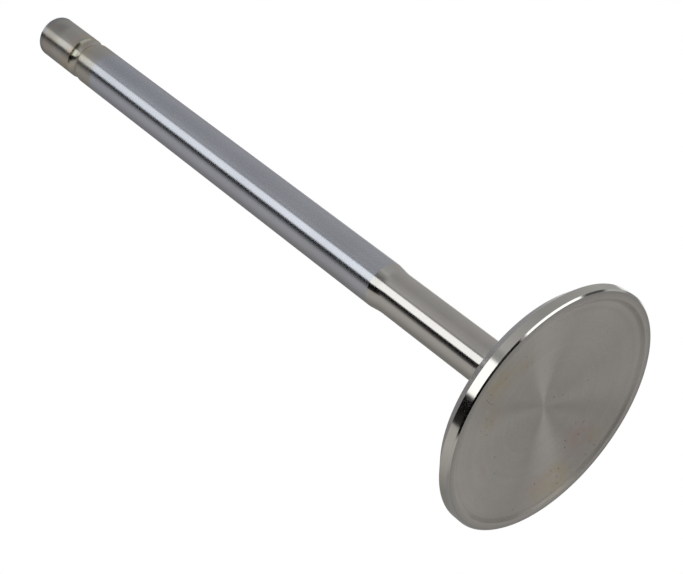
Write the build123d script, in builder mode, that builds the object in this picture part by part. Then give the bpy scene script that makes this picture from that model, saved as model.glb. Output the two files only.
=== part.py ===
from build123d import *
from math import radians, tan
import os

# Poppet valve of a piston engine, turned from one forging and ground all over.
# It stands on the rim of its head. Z runs along the stem, from the head's combustion face (Z = 0)
# up to the tip, and the outline below is the half section that is turned about Z.

# Driving dimensions, in millimetres and degrees.
overall_length = 133.4
head_diameter = 41.0
stem_diameter = 7.96

# Head: bevelled face edge, straight margin, conical seat and a shallow cone behind it.
face_bevel = 0.25
margin_height = 1.5
seat_angle = 45.0
seat_width = 1.9            # measured along the radius
back_angle = 13.0
neck_radius = 7.5           # between the back of the head and the stem

# Combustion face: a flat rim, a short lip and a shallow spherical dish inside it.
rim_width = 1.1
lip_angle = 32.0
lip_depth = 0.35
lip_radius = 1.0
dish_depth = 1.95

# Stem: thinner below the guide, full size through the guide, one round keeper groove.
undercut_diameter = 7.36
undercut_height = 34.8
undercut_taper = 2.2
groove_distance = 11.8      # from the tip to the middle of the groove
groove_width = 2.7
groove_depth = 0.35
tip_chamfer = 0.6

# Radii of the turned outline.
head_radius = head_diameter / 2
stem_radius = stem_diameter / 2
undercut_radius = undercut_diameter / 2
face_radius = head_radius - face_bevel
rim_radius = face_radius - rim_width
lip_inner_radius = rim_radius - lip_depth / tan(radians(lip_angle))
seat_inner_radius = head_radius - seat_width
groove_radius = stem_radius - groove_depth

# Heights of the turned outline.
margin_top = face_bevel + margin_height
seat_top = margin_top + seat_width * tan(radians(seat_angle))
neck_corner = seat_top + (seat_inner_radius - undercut_radius) * tan(radians(back_angle))
taper_top = undercut_height + undercut_taper
groove_middle = overall_length - groove_distance
groove_bottom = groove_middle - groove_width / 2
groove_top = groove_middle + groove_width / 2

with BuildPart() as valve:
    with BuildSketch(Plane.XZ):
        with BuildLine():
            # Dish, lip and rim of the combustion face, from the axis outwards.
            TangentArc((0, dish_depth), (lip_inner_radius, lip_depth), tangent=(1, 0))
            # Bevel, margin and seat of the head.
            Polyline(
                (lip_inner_radius, lip_depth),
                (rim_radius, 0),
                (face_radius, 0),
                (head_radius, face_bevel),
                (head_radius, margin_top),
                (seat_inner_radius, seat_top),
            )
            # Back of the head and the stem up to the keeper groove.
            Polyline(
                (seat_inner_radius, seat_top),
                (undercut_radius, neck_corner),
                (undercut_radius, undercut_height),
                (stem_radius, taper_top),
                (stem_radius, groove_bottom),
            )
            # Keeper groove, one shallow arc.
            ThreePointArc(
                (stem_radius, groove_bottom),
                (groove_radius, groove_middle),
                (stem_radius, groove_top),
            )
            # Tip land, tip chamfer and the way back down the axis.
            Polyline(
                (stem_radius, groove_top),
                (stem_radius, overall_length - tip_chamfer),
                (stem_radius - tip_chamfer, overall_length),
                (0, overall_length),
                (0, dish_depth),
            )
        section = make_face()
        neck = section.vertices().sort_by_distance((undercut_radius, neck_corner))[0]
        fillet(neck, radius=neck_radius)
        lip = section.vertices().sort_by_distance((lip_inner_radius, lip_depth))[0]
        fillet(lip, radius=lip_radius)
    revolve(axis=Axis.Z)

valve.part.label = "valve"

os.makedirs("parts", exist_ok=True)
export_step(valve.part, "parts/valve.step")
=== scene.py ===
import math

import bpy
import numpy as np
from bpy.props import FloatProperty, FloatVectorProperty, PointerProperty
from mathutils import Matrix, Vector


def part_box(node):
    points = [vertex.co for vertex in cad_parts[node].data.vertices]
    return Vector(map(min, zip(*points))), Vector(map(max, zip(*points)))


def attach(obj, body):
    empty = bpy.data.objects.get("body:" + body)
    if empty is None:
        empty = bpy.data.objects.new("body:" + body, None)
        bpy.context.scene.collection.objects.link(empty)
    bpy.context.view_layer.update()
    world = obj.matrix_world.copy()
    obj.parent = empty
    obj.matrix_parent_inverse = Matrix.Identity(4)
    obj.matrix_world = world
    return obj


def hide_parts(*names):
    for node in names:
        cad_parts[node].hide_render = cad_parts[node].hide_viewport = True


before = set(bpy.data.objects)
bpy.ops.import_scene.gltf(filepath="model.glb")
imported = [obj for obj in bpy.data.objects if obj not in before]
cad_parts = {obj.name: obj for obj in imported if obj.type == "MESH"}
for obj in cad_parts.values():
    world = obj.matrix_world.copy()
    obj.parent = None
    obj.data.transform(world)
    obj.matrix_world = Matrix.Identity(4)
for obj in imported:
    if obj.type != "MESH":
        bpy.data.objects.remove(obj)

bl_info = {
    "name": "Poppet valve",
    "version": (1, 0, 0),
    "blender": (4, 5, 0),
    "location": "View3D > Sidebar > Valve",
    "description": "Turns a ground and chromed poppet valve and sets a small pale studio around it",
    "category": "Object",
}

MM = 0.001
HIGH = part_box("valve")[1]    # the valve's highest corner, in metres
TURNS = 256                  # faces round the axis
ARC_STEPS = 6                # faces along a rounded edge
DISH_STEPS = 120             # chords across the whole dish
GROOVE_STEPS = 16            # chords across the keeper groove
LONGEST_BAND = 1.5 * MM      # a longer run of the outline is cut into several bands


def length(name, description, default, **extra):
    return FloatProperty(name=name, description=description, default=default, precision=6,
                         subtype="DISTANCE", unit="LENGTH", **extra)


def angle(name, description, degrees):
    return FloatProperty(name=name, description=description, default=math.radians(degrees),
                         subtype="ANGLE", unit="ROTATION")


def factor(name, description, default):
    return FloatProperty(name=name, description=description, default=default, precision=3)


def colour(name, description, default):
    return FloatVectorProperty(name=name, description=description, default=default,
                               subtype="COLOR", size=3, min=0.0, soft_max=1.0)


class ValveSizes(bpy.types.PropertyGroup):
    """The turned outline of the valve."""

    head_radius: length("Head radius", "From the axis to the margin", HIGH.x)
    overall_length: length("Overall length", "From the rim of the face to the tip", HIGH.z)
    face_bevel: length("Face bevel", "Bevel between face and margin", 0.25 * MM)
    margin_height: length("Margin", "Height of the straight margin", 1.5 * MM)
    seat_width: length("Seat width", "Seat cone, measured along the radius", 1.9 * MM)
    seat_angle: angle("Seat angle", "Slope of the seat cone", 45.0)
    back_angle: angle("Back angle", "Slope of the cone behind the head", 13.0)
    neck_radius: length("Neck radius", "Fillet from the head to the stem", 7.5 * MM)
    rim_width: length("Rim width", "Flat ring that the face stands on", 1.1 * MM)
    lip_angle: angle("Lip angle", "Slope of the lip inside the rim", 32.0)
    lip_depth: length("Lip depth", "Drop from the rim to the dish", 0.35 * MM)
    lip_radius: length("Lip radius", "Fillet from the lip to the dish", 1.0 * MM)
    dish_depth: length("Dish depth", "Depth of the face at the axis", 1.95 * MM)
    stem_radius: length("Stem radius", "Guide part of the stem", 3.98 * MM)
    undercut_radius: length("Undercut radius", "Thinner stem above the head", 3.68 * MM)
    undercut_height: length("Undercut height", "Where the undercut ends", 34.8 * MM)
    undercut_taper: length("Undercut taper", "Height of the cone up to the guide part", 2.2 * MM)
    undercut_blend: length("Undercut blend", "Radius from the undercut into that cone", 10.0 * MM)
    chrome_height: length("Chrome height", "Where the hard chrome ends below the groove", 115.2 * MM)
    groove_distance: length("Groove distance", "From the tip to the middle of the groove", 11.8 * MM)
    groove_width: length("Groove width", "Width of the round keeper groove", 2.7 * MM)
    groove_depth: length("Groove depth", "Depth of the round keeper groove", 0.35 * MM)
    tip_chamfer: length("Tip chamfer", "Chamfer round the tip", 0.6 * MM)
    edge_radius: length("Edge radius", "How far the ground edges are broken", 0.05 * MM)


class ValveColours(bpy.types.PropertyGroup):
    """The finishes of the valve."""

    steel: colour("Ground steel", "Undercut, neck and seat", (0.55, 0.54, 0.52))
    bright: colour("Bright steel", "Margin and bevel", (0.64, 0.635, 0.605))
    chrome: colour("Hard chrome", "Guide part of the stem", (0.508, 0.532, 0.58))
    tip: colour("Tip steel", "Bare steel above the chrome", (0.475, 0.468, 0.432))
    hard_tip: colour("Hardened tip", "Blue grey of the hardened end", (0.31, 0.32, 0.345))
    oil: colour("Oil", "Greenish oil film in the groove", (0.36, 0.36, 0.27))
    face: colour("Turned face", "Combustion face", (0.575, 0.545, 0.505))
    gold_stain: colour("Gold stain", "Heat tint and dried oil", (0.54, 0.46, 0.32))
    red_stain: colour("Reddish stain", "Traces of rust", (0.56, 0.44, 0.40))
    speck: colour("Specks", "Small dark pits", (0.10, 0.09, 0.08))


class StudioSettings(bpy.types.PropertyGroup):
    """The camera, floor and light."""

    camera_distance: length("Camera distance", "From the middle of the face", 240.4 * MM)
    camera_rise: angle("Camera rise", "Angle of the camera above the face's plane", -27.75)
    aim_height: length("Aim height", "Height of the point aimed at", 43.59 * MM)
    aim_side: length("Aim side", "Sideways place of the point aimed at", -4.37 * MM)
    camera_roll: angle("Camera roll", "Turn about the line of sight", -52.06)
    lens: factor("Lens", "Focal length in millimetres on a 36 mm sensor", 87.27)
    floor: colour("Floor", "Pale floor", (0.80, 0.80, 0.79))
    tent_left: colour("Tent left", "Tint of the grey tent on the left", (1.0, 0.955, 0.905))
    tent_right: colour("Tent right", "Tint of the grey tent on the right", (1.0, 0.975, 0.95))
    tent_top: colour("Tent top", "Cooler tint of the tent high up, times the others", (0.98, 1.0, 1.08))
    key_level: factor("Key level", "Brightness of the tall soft card", 1.7)
    low_level: factor("Low level", "Brightness of the low soft card", 1.7)
    side_level: factor("Side level", "Brightness of the soft card on the right", 0.75)
    rear_level: factor("Rear level", "Tone of the cloth low behind the valve", 0.48)
    dim_level: factor("Dim level", "Tone of the strip beside the tall card", 0.40)


# ---------------------------------------------------------------- turned body

def outward(direction):
    """Outward normal of the outline, which runs from the face out and up to the tip."""
    return Vector((direction.y, -direction.x))


def rounded(before, corner, after, radius):
    """(point, outward normal) along the arc that rounds a corner of the outline."""
    arriving, leaving = (corner - before).normalized(), (after - corner).normalized()
    turning = math.acos(max(-1.0, min(1.0, arriving.dot(leaving))))
    side = 1.0 if arriving.cross(leaving) > 0 else -1.0
    start = corner - arriving * radius * math.tan(turning / 2)
    centre = start - outward(arriving) * radius * side
    arc = []
    for step in range(ARC_STEPS + 1):
        spoke = start - centre
        spoke.rotate(Matrix.Rotation(side * turning * step / ARC_STEPS, 2))
        arc.append((centre + spoke, spoke.normalized() * side))
    return arc


def arc_between(start, end, bulge, steps):
    """Points strictly between start and end on the circle that rises by bulge over their chord."""
    chord = end - start
    half = chord.length / 2
    radius = (half * half + bulge * bulge) / (2 * abs(bulge))
    along, across = chord.normalized(), outward(chord.normalized())
    side = 1.0 if bulge > 0 else -1.0
    points = []
    for step in range(1, steps):
        place = half * (2 * step / steps - 1)
        rise = math.sqrt(radius * radius - place * place) - (radius - abs(bulge))
        points.append(start + along * (half + place) + across * rise * side)
    return points


def valve_corners(sizes):
    """(point, rounding, finish of the run that follows) for each corner of the outline."""
    edge = sizes.edge_radius
    rim_edge = 3 * edge
    taper_edge = 4 * edge
    face_radius = sizes.head_radius - sizes.face_bevel
    rim_radius = face_radius - sizes.rim_width
    lip_inner = rim_radius - sizes.lip_depth / math.tan(sizes.lip_angle)
    margin_top = sizes.face_bevel + sizes.margin_height
    seat_inner = sizes.head_radius - sizes.seat_width
    seat_top = margin_top + sizes.seat_width * math.tan(sizes.seat_angle)
    neck_corner = seat_top + (seat_inner - sizes.undercut_radius) * math.tan(sizes.back_angle)
    taper_top = sizes.undercut_height + sizes.undercut_taper
    groove_middle = sizes.overall_length - sizes.groove_distance
    bottom = Vector((sizes.stem_radius, groove_middle - sizes.groove_width / 2))
    top = Vector((sizes.stem_radius, groove_middle + sizes.groove_width / 2))

    middle = Vector((0.0, sizes.dish_depth))
    lip = Vector((lip_inner, sizes.lip_depth))
    mirrored = Vector((-lip.x, lip.y))
    on_axis = 0.001 * MM
    dish = [p for p in arc_between(mirrored, lip, lip.y - middle.y, DISH_STEPS) if p.x > on_axis]
    corners = [(middle, 0.0, "face")] + [(p, 0.0, "face") for p in dish]
    corners += [
        (lip, sizes.lip_radius, "lip"),
        (Vector((rim_radius, 0.0)), rim_edge, "rim"),
        (Vector((face_radius, 0.0)), edge, "bevel"),
        (Vector((sizes.head_radius, sizes.face_bevel)), edge, "margin"),
        (Vector((sizes.head_radius, margin_top)), edge, "seat"),
        (Vector((seat_inner, seat_top)), edge, "back"),
        (Vector((sizes.undercut_radius, neck_corner)), sizes.neck_radius, "undercut"),
        (Vector((sizes.undercut_radius, sizes.undercut_height)), sizes.undercut_blend, "undercut"),
        (Vector((sizes.stem_radius, taper_top)), taper_edge, "chrome"),
        (Vector((sizes.stem_radius, sizes.chrome_height)), 0.0, "tip_land"),
        (bottom, edge, "groove"),
    ]
    corners += [(p, 0.0, "groove") for p in arc_between(bottom, top, -sizes.groove_depth, GROOVE_STEPS)]
    corners += [
        (top, edge, "tip_land"),
        (Vector((sizes.stem_radius, sizes.overall_length - sizes.tip_chamfer)), edge, "chamfer"),
        (Vector((sizes.stem_radius - sizes.tip_chamfer, sizes.overall_length)), edge, "tip"),
        (Vector((0.0, sizes.overall_length)), 0.0, "tip"),
    ]
    return corners


def ring_list(corners):
    """(point, outward normal, finish of the band that follows) for each ring of the turned mesh."""
    rings = []

    def run_to(point, normal, finish):
        """Adds the ring at point, and rings on the way there where that is far."""
        if rings:
            start, was, band = rings[-1]
            cuts = max(1, math.ceil((point - start).length / LONGEST_BAND))
            for cut in range(1, cuts):
                share = cut / cuts
                rings.append((start.lerp(point, share), was.lerp(normal, share).normalized(), band))
        rings.append((point, normal, finish))

    for index, (corner, radius, finish) in enumerate(corners):
        if index in (0, len(corners) - 1):
            run_to(corner, Vector((0.0, -1.0 if index == 0 else 1.0)), finish)
            continue
        before, after = corners[index - 1][0], corners[index + 1][0]
        if radius:
            arc = rounded(before, corner, after, radius)
            run_to(*arc[0], finish)
            rings.extend((p, n, finish) for p, n in arc[1:])
        else:
            both = outward((corner - before).normalized()) + outward((after - corner).normalized())
            run_to(corner, both.normalized(), finish)
    return rings


def turned_mesh(name, rings, slots_of):
    """Turns the rings about Z. The first and last ring are single points on the axis."""
    angles = np.arange(TURNS) * 2 * math.pi / TURNS
    spokes = np.stack([np.cos(angles), np.sin(angles)], 1)
    verts, normals = [], []
    for point, normal, _ in rings[1:-1]:
        verts.append(np.column_stack([spokes * point.x, np.full(TURNS, point.y)]))
        normals.append(np.column_stack([spokes * normal.x, np.full(TURNS, normal.y)]))
    for point, normal, _ in (rings[0], rings[-1]):
        verts.append(np.array([[0.0, 0.0, point.y]]))
        normals.append(np.array([[0.0, 0.0, normal.y]]))
    verts, normals = np.vstack(verts), np.vstack(normals)

    here = np.arange(TURNS)
    after = (here + 1) % TURNS
    bands = len(rings) - 3
    face_middle, tip_middle = len(verts) - 2, len(verts) - 1
    faces = [(face_middle, b, a) for a, b in zip(here.tolist(), after.tolist())]
    for band in range(bands):
        low, high = band * TURNS, (band + 1) * TURNS
        faces += np.stack([low + here, low + after, high + after, high + here], 1).tolist()
    top = bands * TURNS
    faces += [(top + a, top + b, tip_middle) for a, b in zip(here.tolist(), after.tolist())]
    slots = [slots_of[finish] for _, _, finish in rings[:-1] for _ in range(TURNS)]

    mesh = bpy.data.meshes.new(name)
    mesh.from_pydata(verts.tolist(), [], faces)
    mesh.polygons.foreach_set("material_index", slots)
    mesh.polygons.foreach_set("use_smooth", [True] * len(faces))
    mesh.normals_split_custom_set_from_vertices(normals.tolist())
    mesh.update()
    return mesh


# Where the body's parts lie on its bake map: discs as (u, v, radius), strips as (u, v, width, height).
BAKE_DISCS = {"face": (0.25, 0.75, 0.24), "back": (0.75, 0.75, 0.24), "tip": (0.06, 0.06, 0.05)}
BAKE_STRIPS = {"stem": (0.01, 0.17, 0.98, 0.31), "margin": (0.13, 0.04, 0.86, 0.04)}
FLAT_LEAN = 0.5              # the normal of a band that is laid out on a disc leans further up or down


def bake_chart(low, high):
    """The disc or strip of the bake map that the band between two rings belongs to."""
    lean = (low[1].y + high[1].y) / 2
    if low[2] in ("bevel", "margin"):
        return "margin"
    if lean < -FLAT_LEAN:
        return "face"
    if lean > FLAT_LEAN:
        return "back" if low[0].y < HIGH.z / 2 else "tip"
    return "stem"


def add_bake_map(mesh, rings):
    """Lays the turned mesh out flat: face, back of the head and tip as discs, the rest unrolled."""
    runs = [0.0]
    for low, high in zip(rings, rings[1:]):
        runs.append(runs[-1] + (high[0] - low[0]).length)
    charts = [bake_chart(low, high) for low, high in zip(rings, rings[1:])]
    spans = {name: [runs[k + end] for k, chart in enumerate(charts) for end in (0, 1) if chart == name]
             for name in set(charts)}
    tip_reach = max(ring[0].x for ring, chart in zip(rings[1:], charts[1:]) if chart == "tip")
    reach = {"face": HIGH.x, "back": HIGH.x, "tip": tip_reach}
    here = np.arange(TURNS)

    def corner(band, ring, turn):
        """Places on the map of the same corner of every face in a band."""
        chart, share = charts[band], (here + turn) / TURNS
        if chart in BAKE_DISCS:
            u, v, size = BAKE_DISCS[chart]
            away = size * rings[ring][0].x / reach[chart]
            around = 2 * math.pi * share
            return np.stack([u + away * np.cos(around), v + away * np.sin(around)], 1)
        u, v, width, height = BAKE_STRIPS[chart]
        along = (runs[ring] - min(spans[chart])) / (max(spans[chart]) - min(spans[chart]))
        if chart == "stem":
            return np.stack([np.full(TURNS, u + width * along), v + height * share], 1)
        return np.stack([u + width * share, np.full(TURNS, v + height * along)], 1)

    last = len(rings) - 2
    places = [np.stack([corner(0, 0, 0), corner(0, 1, 1), corner(0, 1, 0)], 1)]
    places += [np.stack([corner(k, k, 0), corner(k, k, 1), corner(k, k + 1, 1), corner(k, k + 1, 0)], 1)
               for k in range(1, last)]
    places.append(np.stack([corner(last, last, 0), corner(last, last, 1), corner(last, last + 1, 0)], 1))
    layer = mesh.uv_layers.new(name="OFBake")
    layer.data.foreach_set("uv", np.concatenate([p.reshape(-1, 2) for p in places]).ravel())


# ---------------------------------------------------------------- nodes and finishes

class Nodes:
    """The nodes of a material or world under construction: each call adds to them."""

    def __init__(self, owner):
        owner.use_nodes = True
        self.tree = owner.node_tree

    def add(self, kind, inputs=None, **settings):
        """A new node with its settings and inputs set or linked."""
        node = self.tree.nodes.new(kind)
        for key, value in settings.items():
            setattr(node, key, value)
        for key, value in (inputs or {}).items():
            self.set(node.inputs[key], value)
        return node

    def set(self, socket, value):
        """Links a socket to an output, or sets it to a number, a vector or a colour."""
        if isinstance(value, bpy.types.NodeSocket):
            self.tree.links.new(value, socket)
        elif hasattr(value, "__len__"):
            value = tuple(value)
            socket.default_value = value + (1.0,) if socket.type == "RGBA" and len(value) == 3 else value
        else:
            socket.default_value = value

    def maths(self, operation, *values):
        """The output of a Math node."""
        node = self.add("ShaderNodeMath", operation=operation)
        for socket, value in zip(node.inputs, values):
            self.set(socket, value)
        return node.outputs[0]

    def plus(self, first, second):
        return self.maths("ADD", first, second)

    def times(self, first, second):
        return self.maths("MULTIPLY", first, second)

    def greatest(self, *values):
        """The greatest of several values."""
        found = values[0]
        for value in values[1:]:
            found = self.maths("MAXIMUM", found, value)
        return found

    def ranged(self, value, low, high, to_low=0.0, to_high=1.0, smooth=True):
        """The value carried from low..high to to_low..to_high, and held there beyond them."""
        node = self.add("ShaderNodeMapRange", {0: value, 1: low, 2: high, 3: to_low, 4: to_high},
                        interpolation_type="SMOOTHSTEP" if smooth else "LINEAR")
        return node.outputs[0]

    def mix(self, share, first, second):
        """The first colour where share is 0, the second where it is 1."""
        node = self.add("ShaderNodeMix", data_type="RGBA")
        for socket, value in ((node.inputs[0], share), (node.inputs[6], first), (node.inputs[7], second)):
            self.set(socket, value)
        return node.outputs[2]


class Finish(Nodes):
    """A metal finish laid out by the place on the part."""

    MARK_DEPTH = 0.01 * MM       # of the tool marks at full strength
    ACROSS_MARKS = 0.25          # a quarter turn: the gloss spreads across the tool marks
    HEIGHT_SHARE = 1.7           # at 1 the marks would vanish on the 45 degree seat
    SPREAD = (0.3, 0.7)          # most values of a noise lie between these

    def __init__(self, name):
        self.material = bpy.data.materials.new(name)
        super().__init__(self.material)
        self.place = self.add("ShaderNodeTexCoord").outputs["Object"]
        self.x, self.y, self.height = self.add("ShaderNodeSeparateXYZ", {0: self.place}).outputs

    def scaled(self, factors):
        """The place on the part, stretched by factors per metre."""
        return self.add("ShaderNodeMapping", {"Vector": self.place, "Scale": factors}).outputs[0]

    def noise(self, vector, scale, detail=2.0, roughness=0.5):
        """Cloudy noise around 0.5."""
        node = self.add("ShaderNodeTexNoise", {"Vector": vector, "Scale": scale, "Detail": detail,
                                               "Roughness": roughness})
        return node.outputs["Fac"]

    def clouded(self, clouds, base):
        """The base colour, a little darker and lighter by turns."""
        return self.mix(self.ranged(clouds, *self.SPREAD), shade(base, 0.97), shade(base, 1.03))

    def radius(self):
        """Distance from the axis."""
        return self.maths("SQRT", self.plus(self.times(self.x, self.x), self.times(self.y, self.y)))

    def rings(self, around, across, detail=3.0, roughness=0.6):
        """Tool marks round the axis: coarse along each ring (around), fine from ring to ring (across)."""
        outline = self.plus(self.radius(), self.times(self.height, self.HEIGHT_SHARE))
        vector = self.add("ShaderNodeCombineXYZ", {0: self.times(self.x, around),
                                                   1: self.times(self.y, around),
                                                   2: self.times(outline, across)}).outputs[0]
        return self.noise(vector, 1.0, detail, roughness)

    def spot(self, centre, size, wobble, soft):
        """1 inside a ragged patch round centre, 0 outside."""
        away = self.add("ShaderNodeVectorMath", {0: self.place, 1: centre}, operation="DISTANCE")
        ragged = self.times(self.maths("SUBTRACT", wobble, 0.5), 1.2 * size)
        return self.ranged(self.plus(away.outputs["Value"], ragged), size * (1 - soft), size, 1.0, 0.0)

    def metal(self, tone, roughness, anisotropy, marks, strength):
        """Finishes the material as bare metal with its tool marks."""
        shader = self.tree.nodes["Principled BSDF"]
        shader.inputs["Metallic"].default_value = 1.0
        shader.inputs["Anisotropic"].default_value = anisotropy
        shader.inputs["Anisotropic Rotation"].default_value = self.ACROSS_MARKS
        self.set(shader.inputs["Base Color"], tone)
        self.set(shader.inputs["Roughness"], roughness)
        tangent = self.add("ShaderNodeTangent", direction_type="RADIAL", axis="Z")
        self.set(shader.inputs["Tangent"], tangent.outputs[0])
        bump = self.add("ShaderNodeBump", {"Strength": strength, "Distance": self.MARK_DEPTH,
                                           "Height": marks})
        self.set(shader.inputs["Normal"], bump.outputs["Normal"])
        return self.material


def shade(tone, factor):
    """A colour made lighter or darker."""
    return [factor * channel for channel in tone]


def ground_steel(name, base, roughness, anisotropy, marks=0.015):
    """Ground all round: fine rings across the axis over a near mirror."""
    steel = Finish(name)
    rings = steel.rings(20, 6000)
    clouds = steel.noise(steel.place, 180.0, 3.0)
    tone = steel.clouded(clouds, base)
    rough = steel.plus(steel.ranged(rings, *steel.SPREAD, roughness * 0.9, roughness * 1.1),
                       steel.ranged(clouds, 0.4, 0.75, 0.0, 0.02))
    return steel.metal(tone, rough, anisotropy, rings, marks)


def stem_finish(name, colours, sizes, roughness=0.265, anisotropy=0.86, marks=0.004):
    """Hard chrome on the guide part; from below the groove upwards it is bare steel with oil tints."""
    stem = Finish(name)
    end = sizes.overall_length
    groove = end - sizes.groove_distance
    dark_tip = shade(colours.tip, 0.62)
    dark_from, dark_full = end - 6.2 * MM, end - 4.2 * MM
    hard_from, hard_full = end - 2.2 * MM, end - 1.0 * MM

    rings = stem.rings(30, 5000)
    clouds = stem.noise(stem.scaled((90, 90, 60)), 1.0, 3.0)
    patches = stem.noise(stem.scaled((260, 260, 330)), 1.0, 4.0, 0.55)
    tints = stem.noise(stem.scaled((310, 310, 240)), 1.0, 3.0, 0.5)
    ragged = stem.times(stem.maths("SUBTRACT", patches, 0.5), 1.5 * MM)
    height = stem.plus(stem.height, ragged)

    plated = stem.mix(stem.ranged(clouds, 0.35, 0.65),
                      shade(colours.chrome, 0.96), shade(colours.chrome, 1.03))
    bare = stem.mix(stem.times(stem.ranged(patches, 0.48, 0.62), 0.5), colours.tip, colours.gold_stain)
    bare = stem.mix(stem.times(stem.ranged(tints, 0.54, 0.64), 0.35), bare, colours.red_stain)
    unplated = stem.ranged(height, sizes.chrome_height - 0.5 * MM, sizes.chrome_height + 1.2 * MM)
    tone = stem.mix(unplated, plated, bare)

    from_groove = stem.maths("ABSOLUTE", stem.maths("SUBTRACT", height, groove))
    oily = stem.ranged(from_groove, 0.8 * MM, 2.2 * MM, 0.75, 0.0)
    tone = stem.mix(stem.times(oily, stem.ranged(tints, 0.40, 0.60)), tone, colours.oil)

    tone = stem.mix(stem.ranged(height, dark_from, dark_full, 0.0, 0.20), tone, dark_tip)
    smudge = stem.spot((0.4 * MM, -sizes.stem_radius, end - 3.2 * MM), 3.4 * MM, patches, 0.8)
    tone = stem.mix(stem.times(smudge, 0.6), tone, dark_tip)
    tone = stem.mix(stem.ranged(height, hard_from, hard_full, 0.0, 0.8), tone, colours.hard_tip)

    worn = stem.times(unplated, stem.ranged(patches, 0.35, 0.65, 0.03, 0.09))
    rough = stem.plus(stem.ranged(rings, *stem.SPREAD, roughness - 0.015, roughness + 0.015), worn)
    return stem.metal(tone, rough, anisotropy, rings, marks)


# Stains on the face: x, y and size in millimetres, strength and kind.
FACE_STAINS = (
    (-1.5, -16.0, 5.5, 1.0, "gold"), (-6.0, -11.0, 4.0, 0.5, "gold"), (3.0, -13.0, 3.5, 0.5, "gold"),
    (-7.5, 14.5, 4.5, 1.0, "gold"), (-11.0, 12.5, 4.0, 0.5, "gold"), (1.0, 16.0, 3.0, 0.6, "gold"),
    (-10.5, 10.5, 3.0, 0.6, "red"), (-0.5, 13.0, 5.0, 0.8, "red"), (-12.6, -4.2, 1.8, 0.6, "red"),
)
CLEAN_DIRT = 0.06            # how dirty the face is away from its stains
SPECKS_PER_METRE = 1000.0    # places where a speck may be, along a line


def speck_share(face, dirt):
    """How far a speck covers the face: few where it is clean, more where it is stained."""
    cells = face.add("ShaderNodeTexVoronoi",
                     {"Vector": face.place, "Scale": SPECKS_PER_METRE, "Randomness": 1.0},
                     voronoi_dimensions="2D")
    chance, darkness, _ = face.add("ShaderNodeSeparateColor", {0: cells.outputs["Color"]}).outputs
    chosen = face.maths("GREATER_THAN", face.plus(chance, face.times(dirt, 0.24)), 1.0)
    dots = face.times(face.ranged(cells.outputs["Distance"], 0.05, 0.22, 1.0, 0.0), chosen)
    return face.times(dots, face.ranged(darkness, 0.0, 1.0, 0.3, 0.75))


def turned_face(name, base, colours, roughness=0.345, anisotropy=0.95, painted_shade_radii=None, marks=0.12):
    """Faced in a lathe: rings round the axis, a few stains and specks.

    Where two radii are given, the tone darkens from the first out to the second: painted shade in place of
    the darker reflection of a slightly tilted outer rim.
    """
    face = Finish(name)
    rough_until, smooth_from = 3 * MM, 17 * MM
    from_axis = face.radius()
    rings = face.rings(15, 4200, 4.0, 0.5)
    clouds = face.noise(face.place, 140.0, 4.0, 0.55)
    mottle = face.noise(face.place, 520.0, 3.0, 0.6)
    grain = face.noise(face.place, 2600.0, 2.0, 0.6)
    tone = face.clouded(clouds, base)
    tone = face.mix(face.ranged(grain, *face.SPREAD, 0.0, 0.07), tone, colours.speck)

    tints = {"gold": colours.gold_stain, "red": colours.red_stain}
    dirt = CLEAN_DIRT
    for x, y, size, strength, kind in FACE_STAINS:
        patch = face.spot((x * MM, y * MM, MM), size * MM, mottle, 0.9)
        dirt = face.maths("MAXIMUM", patch, dirt)
        mottled = face.ranged(mottle, 0.35, 0.60, 0.15 * strength, strength)
        tone = face.mix(face.times(patch, mottled), tone, tints[kind])
    tone = face.mix(speck_share(face, dirt), tone, colours.speck)

    bands = face.rings(10, 1300, 2.0)
    tone = face.mix(face.ranged(bands, 0.35, 0.65, 0.0, 0.045), tone, colours.speck)
    # Painted shade: the rim's outer part is painted darker in place of the darker reflection of its slight
    # tilt.
    if painted_shade_radii:
        tone = face.mix(face.ranged(from_axis, *painted_shade_radii, smooth=False), tone, shade(base, 0.66))
    smoother = face.ranged(from_axis, rough_until, smooth_from, roughness + 0.06, roughness)
    rough = face.plus(smoother, face.ranged(rings, *face.SPREAD, -0.02, 0.02))
    return face.metal(tone, rough, anisotropy, rings, marks)


def valve_finishes(colours, sizes):
    """Every finish of the valve, in the order of its material slots."""
    steel, bright = colours.steel, colours.bright
    rim_end = sizes.head_radius
    rim_start = rim_end - sizes.face_bevel - sizes.rim_width
    stem = stem_finish("stem", colours, sizes)
    return {
        "face": turned_face("turned_face", colours.face, colours),
        "lip": turned_face("turned_lip", shade(colours.face, 0.93), colours, roughness=0.42, anisotropy=0.7),
        # The rim's tone darkens towards its edge: painted shade for the darker reflection of a slightly
        # tilted outer rim.
        "rim": turned_face("turned_rim", colours.face, colours, roughness=0.33, anisotropy=0.9,
                           painted_shade_radii=(rim_start, rim_end)),
        "bevel": ground_steel("ground_bevel", bright, roughness=0.08, anisotropy=0.3),
        "margin": ground_steel("ground_margin", shade(bright, 0.95), roughness=0.12, anisotropy=0.6),
        "seat": ground_steel("ground_seat", steel, roughness=0.24, anisotropy=0.7),
        "back": ground_steel("turned_back", steel, roughness=0.26, anisotropy=0.8),
        "undercut": ground_steel("ground_undercut", steel, roughness=0.17, anisotropy=0.8, marks=0.004),
        "chrome": stem,
        "tip_land": stem,
        "groove": stem_finish("groove", colours, sizes, roughness=0.15, anisotropy=0.5, marks=0.005),
        "chamfer": stem,
        "tip": stem_finish("tip_end", colours, sizes, roughness=0.26, anisotropy=0.6),
    }


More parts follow.
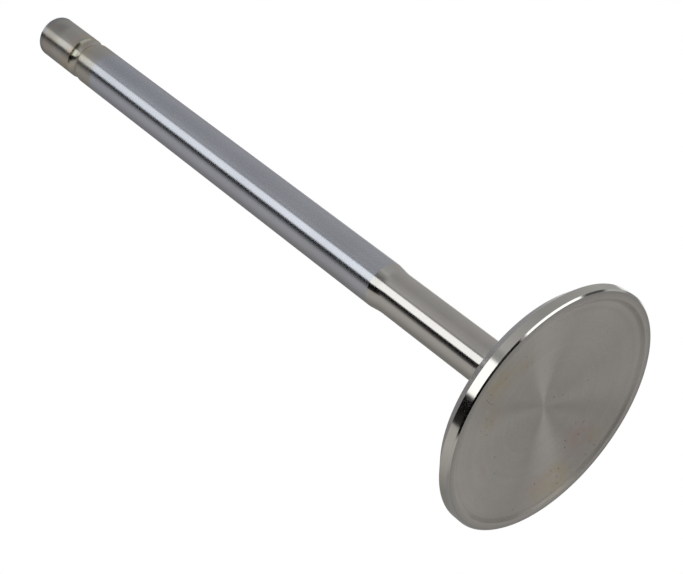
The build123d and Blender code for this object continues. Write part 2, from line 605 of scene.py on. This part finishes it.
class VALVE_OT_turn_body(bpy.types.Operator):
    """Turn the valve's outline and give each band its finish"""

    bl_idname = "valve.turn_body"
    bl_label = "Turn the valve"

    def execute(self, context):
        sizes = context.scene.valve_sizes
        finishes = valve_finishes(context.scene.valve_colours, sizes)
        rings = ring_list(valve_corners(sizes))
        materials = list(dict.fromkeys(finishes.values()))
        slots = {band: materials.index(material) for band, material in finishes.items()}
        mesh = turned_mesh("poppet_valve", rings, slots)
        add_bake_map(mesh, rings)
        for material in materials:
            mesh.materials.append(material)
        body = bpy.data.objects.new("poppet_valve", mesh)
        context.scene.collection.objects.link(body)
        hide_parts("valve")
        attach(body, "root")
        return {"FINISHED"}


# ---------------------------------------------------------------- studio

# Cards on the tent, in degrees: azimuth from the camera's side towards +X (left edge, right edge),
# elevation (bottom, top), level, and how softly the left, right and level edges fade.
# Later cards lie over earlier ones.
CARDS = (
    ("low_back", 100, 260, -90, 4, "low_back", (14, 14, 8)),
    ("low_left", 198, 262, -78, -38, "low_left", (18, 18, 12)),
    ("rear_low", 166, 194, -56, 4, "rear", (14, 14, 14)),
    ("under", -84, 24, -90, -62, "under", (14, 10, 8)),
    ("backdrop", 154, 178, -8, 40, "white", (7, 6, 6)),
    ("side_card", 38, 100, -22, 18, "side", (4, 10, 8)),
    ("gap", -56, -28, -44, 32, "black", (3, 3, 2)),
    ("tall_gap", -51, -28, 32, 84, "black", (16, 3, 2)),
    ("key", -28, 5, -42, 84, "key", (2, 2, 2)),
    ("key_edge", 5, 14, 26, 46, "dim", (1, 4, 8)),
    ("key_top", -27, 6, 42, 84, "key_top", (5, 4, 7)),
    ("corner", 5, 28, 10, 26, "corner", (1, 26, 3)),
    ("middle_band", -70, 40, -11, 12, "black", (4, 4, 4)),
    ("low_band", -74, 40, -62, -43, "black", (8, 4, 4)),
    ("low_card", 47, 102, -60, -34, "low", (4, 2, 2)),
    ("low_end", 90, 125, -80, -50, "low_back", (6, 8, 6)),
    ("side_dark", 104, 120, -38, -18, "dusk", (3, 5, 3)),
    ("side_glint", 121, 138, -26, -4, "glint", (5, 6, 6)),
)

# Tone of the grey tent round the valve: azimuth in degrees and level.
TENT_TONES = (
    (-180, 0.33), (-150, 0.25), (-125, 0.29), (-110, 0.36), (-95, 0.45), (-75, 0.54), (-57, 0.53), (5, 0.44),
    (17, 0.62), (26, 0.54), (32, 0.50), (48, 0.42), (60, 0.38), (90, 0.42), (125, 0.48), (180, 0.33),
)
SIDE_FADE = 90               # degrees over which the left tint turns into the right one
TOP_EDGE, TOP_FADE = 38, 8   # degrees: where the tent turns cooler, and over how much
TENT_RADIUS = 2.0
TENT_TURNS, TENT_LEVELS = 720, 360   # faces round the tent and from bottom to top
POLE_GAP = 0.01              # radians left open at its two poles together

FLOOR_RADIUS = 0.6
FLOOR_SIDES = 64
FLOOR_DROP = 0.1 * MM        # clear of the rim that the valve stands on
FLOOR_FADE = (0.16, 0.55)    # distances at which the floor starts and ends fading out

LAMP_SIZE = 0.35
LAMP_WATTS = 3.6
LAMP_PLACE = (-0.25, -0.30, 0.60)
LAMP_AIM = (0, 0, 0.04)

PLAIN_LEVEL = 0.62           # of the world, for rays that leave a dull surface
WHITE_LEVEL = 1.0
SENSOR_WIDTH = 36.0          # millimetres
NEAREST, FARTHEST = 0.01, 10.0   # what the camera sees, in metres


def card_levels(settings):
    """Brightness of each kind of card."""
    return {
        "black": 0.003,
        "under": 0.05,
        "dusk": 0.10,
        "corner": 0.19,
        "low_back": 0.30,
        "low_left": 0.42,
        "glint": 0.55,
        "white": 1.0,
        "dim": settings.dim_level,
        "rear": settings.rear_level,
        "side": settings.side_level,
        "low": settings.low_level,
        "key": settings.key_level,
        "key_top": 0.63 * settings.key_level,
    }


def smooth_step(t):
    """Smooth rise from 0 to 1 as t goes from -0.5 to 0.5."""
    t = np.clip(t + 0.5, 0, 1)
    return t * t * (3 - 2 * t)


def card_colours(directions, settings):
    """Colour of the tent in each direction."""
    azimuth = np.degrees(np.arctan2(directions[:, 0], -directions[:, 1]))
    elevation = np.degrees(np.arcsin(np.clip(directions[:, 2], -1, 1)))
    to_right = smooth_step(azimuth / SIDE_FADE)[:, None]
    to_top = smooth_step((elevation - TOP_EDGE) / TOP_FADE)[:, None]
    tint = np.array(settings.tent_left[:3]) * (1 - to_right) + np.array(settings.tent_right[:3]) * to_right
    tint = tint * (1 - to_top + np.array(settings.tent_top[:3]) * to_top)
    colours = np.interp(azimuth, *zip(*TENT_TONES))[:, None] * tint

    levels = card_levels(settings)
    for _, left, right, low, high, level, (soft_left, soft_right, soft_ends) in CARDS:
        turned = (azimuth - (left + right) / 2 + 180) % 360 - 180
        half = (right - left) / 2
        across = smooth_step((turned + half) / soft_left) * smooth_step((half - turned) / soft_right)
        upward = smooth_step((elevation - low) / soft_ends) * smooth_step((high - elevation) / soft_ends)
        share = (across * upward)[:, None]
        colours = colours * (1 - share) + levels[level] * share
    return colours


def dome_mesh(name):
    """A sphere finely divided so that it can carry the cards, and the direction of each of its points."""
    azimuths = np.arange(TENT_TURNS) * 2 * math.pi / TENT_TURNS
    elevations = (np.arange(TENT_LEVELS + 1) / TENT_LEVELS - 0.5) * (math.pi - POLE_GAP)
    a, e = np.meshgrid(azimuths, elevations)
    directions = np.stack([np.cos(e) * np.sin(a), -np.cos(e) * np.cos(a), np.sin(e)], -1).reshape(-1, 3)
    ring = np.arange(TENT_TURNS)
    after = (ring + 1) % TENT_TURNS
    faces = []
    for band in range(TENT_LEVELS):
        low, high = band * TENT_TURNS, (band + 1) * TENT_TURNS
        faces += np.stack([low + ring, high + ring, high + after, low + after], 1).tolist()
    mesh = bpy.data.meshes.new(name)
    mesh.from_pydata((directions * TENT_RADIUS).tolist(), [], faces)
    return mesh, directions


def empty_nodes(owner):
    """The node tree of a material or world without the nodes that it starts with."""
    nodes = Nodes(owner)
    nodes.tree.nodes.clear()
    return nodes


def tent_cloth():
    """Glows in the colours of the cards, and is no lamp of its own."""
    material = bpy.data.materials.new("tent_cloth")
    nodes = empty_nodes(material)
    cards = nodes.add("ShaderNodeVertexColor", layer_name="cards")
    glow = nodes.add("ShaderNodeEmission", {"Color": cards.outputs["Color"]})
    nodes.add("ShaderNodeOutputMaterial", {"Surface": glow.outputs[0]})
    material.cycles.emission_sampling = "NONE"
    return material


def add_tent(scene, settings):
    """Grey tent with soft cards, which only the metal's reflections see."""
    mesh, directions = dome_mesh("tent")
    colours = card_colours(directions, settings)
    layer = mesh.color_attributes.new("cards", "FLOAT_COLOR", "POINT")
    layer.data.foreach_set("color", np.column_stack([colours, np.ones(len(colours))]).ravel())
    mesh.materials.append(tent_cloth())
    tent = bpy.data.objects.new("tent", mesh)
    tent.location = (0, 0, HIGH.z / 2)
    for ray in ("camera", "diffuse", "transmission", "volume_scatter", "shadow"):
        setattr(tent, "visible_" + ray, False)
    scene.collection.objects.link(tent)


def floor_material(pale):
    """Pale from above, unseen from below and by the metal, and faded out far away."""
    material = bpy.data.materials.new("pale_floor")
    nodes = empty_nodes(material)
    place = nodes.add("ShaderNodeTexCoord").outputs["Object"]
    away = nodes.add("ShaderNodeVectorMath", {0: place}, operation="LENGTH").outputs["Value"]
    path = nodes.add("ShaderNodeLightPath").outputs
    geometry = nodes.add("ShaderNodeNewGeometry").outputs
    clear = nodes.greatest(path["Is Shadow Ray"], path["Is Glossy Ray"], path["Is Diffuse Ray"],
                           geometry["Backfacing"], nodes.ranged(away, *FLOOR_FADE))
    dull = nodes.add("ShaderNodeBsdfDiffuse", {"Color": pale})
    see_through = nodes.add("ShaderNodeBsdfTransparent")
    mix = nodes.add("ShaderNodeMixShader", {0: clear, 1: dull.outputs[0], 2: see_through.outputs[0]})
    nodes.add("ShaderNodeOutputMaterial", {"Surface": mix.outputs[0]})
    return material


def add_floor(scene, settings):
    """A flat round floor just under the head."""
    turns = [2 * math.pi * side / FLOOR_SIDES for side in range(FLOOR_SIDES)]
    rim = [(FLOOR_RADIUS * math.cos(turn), FLOOR_RADIUS * math.sin(turn), 0.0) for turn in turns]
    mesh = bpy.data.meshes.new("floor")
    mesh.from_pydata(rim, [], [list(range(FLOOR_SIDES))])
    mesh.materials.append(floor_material(settings.floor))
    floor = bpy.data.objects.new("floor", mesh)
    floor.location = (0, 0, -FLOOR_DROP)
    scene.collection.objects.link(floor)


def add_lamp(scene):
    """One soft lamp from above, for the shadow on the floor."""
    data = bpy.data.lights.new("soft_lamp", "AREA")
    data.shape = "DISK"
    data.size = LAMP_SIZE
    data.energy = LAMP_WATTS
    lamp = bpy.data.objects.new("soft_lamp", data)
    lamp.location = LAMP_PLACE
    lamp.rotation_euler = (Vector(LAMP_AIM) - lamp.location).to_track_quat("-Z", "Y").to_euler()
    lamp.visible_glossy = False
    lamp.visible_camera = False
    scene.collection.objects.link(lamp)


def set_world(scene):
    """White where the camera, the metal or glass looks past everything, a plain level elsewhere."""
    world = bpy.data.worlds.new("studio")
    nodes = empty_nodes(world)
    path = nodes.add("ShaderNodeLightPath").outputs
    seen = nodes.greatest(path["Is Camera Ray"], path["Is Glossy Ray"], path["Is Transmission Ray"])
    plain = nodes.add("ShaderNodeBackground", {"Color": (1, 1, 1), "Strength": PLAIN_LEVEL})
    white = nodes.add("ShaderNodeBackground", {"Color": (1, 1, 1), "Strength": WHITE_LEVEL})
    mix = nodes.add("ShaderNodeMixShader", {0: seen, 1: plain.outputs[0], 2: white.outputs[0]})
    nodes.add("ShaderNodeOutputWorld", {"Surface": mix.outputs[0]})
    scene.world = world


def add_camera(scene, settings):
    """The camera looks up at the face from below its plane, turned so that the stem slants."""
    data = bpy.data.cameras.new("camera")
    data.sensor_width = SENSOR_WIDTH
    data.lens = settings.lens
    data.clip_start = NEAREST
    data.clip_end = FARTHEST
    camera = bpy.data.objects.new("camera", data)
    rise = settings.camera_rise
    camera.location = settings.camera_distance * Vector((0.0, -math.cos(rise), math.sin(rise)))
    sight = Vector((settings.aim_side, 0.0, settings.aim_height)) - camera.location
    roll = Matrix.Rotation(settings.camera_roll, 3, "Z").to_quaternion()
    camera.rotation_mode = "QUATERNION"
    camera.rotation_quaternion = sight.to_track_quat("-Z", "Y") @ roll
    scene.collection.objects.link(camera)
    scene.camera = camera


class VALVE_OT_set_studio(bpy.types.Operator):
    """Set the floor, the light, the tent and the camera"""

    bl_idname = "valve.set_studio"
    bl_label = "Set the studio"

    def execute(self, context):
        scene = context.scene
        settings = scene.valve_studio
        add_floor(scene, settings)
        add_tent(scene, settings)
        add_lamp(scene)
        set_world(scene)
        add_camera(scene, settings)
        scene.view_settings.view_transform = "Standard"
        return {"FINISHED"}


class VALVE_PT_panel(bpy.types.Panel):
    """Sizes, finishes and studio of the valve"""

    bl_idname = "VALVE_PT_panel"
    bl_label = "Poppet valve"
    bl_space_type = "VIEW_3D"
    bl_region_type = "UI"
    bl_category = "Valve"

    def draw(self, context):
        for operator in (VALVE_OT_turn_body, VALVE_OT_set_studio):
            self.layout.operator(operator.bl_idname)
        for group in (context.scene.valve_sizes, context.scene.valve_colours, context.scene.valve_studio):
            box = self.layout.box()
            for name in group.bl_rna.properties.keys():
                if name not in ("rna_type", "name"):
                    box.prop(group, name)


GROUPS = (("valve_sizes", ValveSizes), ("valve_colours", ValveColours), ("valve_studio", StudioSettings))
OPERATORS = (VALVE_OT_turn_body, VALVE_OT_set_studio)


def register():
    for name, group in GROUPS:
        bpy.utils.register_class(group)
        setattr(bpy.types.Scene, name, PointerProperty(type=group))
    for made in (*OPERATORS, VALVE_PT_panel):
        bpy.utils.register_class(made)


def unregister():
    for made in (VALVE_PT_panel, *reversed(OPERATORS)):
        bpy.utils.unregister_class(made)
    for name, group in reversed(GROUPS):
        delattr(bpy.types.Scene, name)
        bpy.utils.unregister_class(group)


def main():
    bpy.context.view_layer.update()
    register()
    bpy.ops.valve.turn_body()
    bpy.ops.valve.set_studio()


if __name__ == "__main__":
    main()
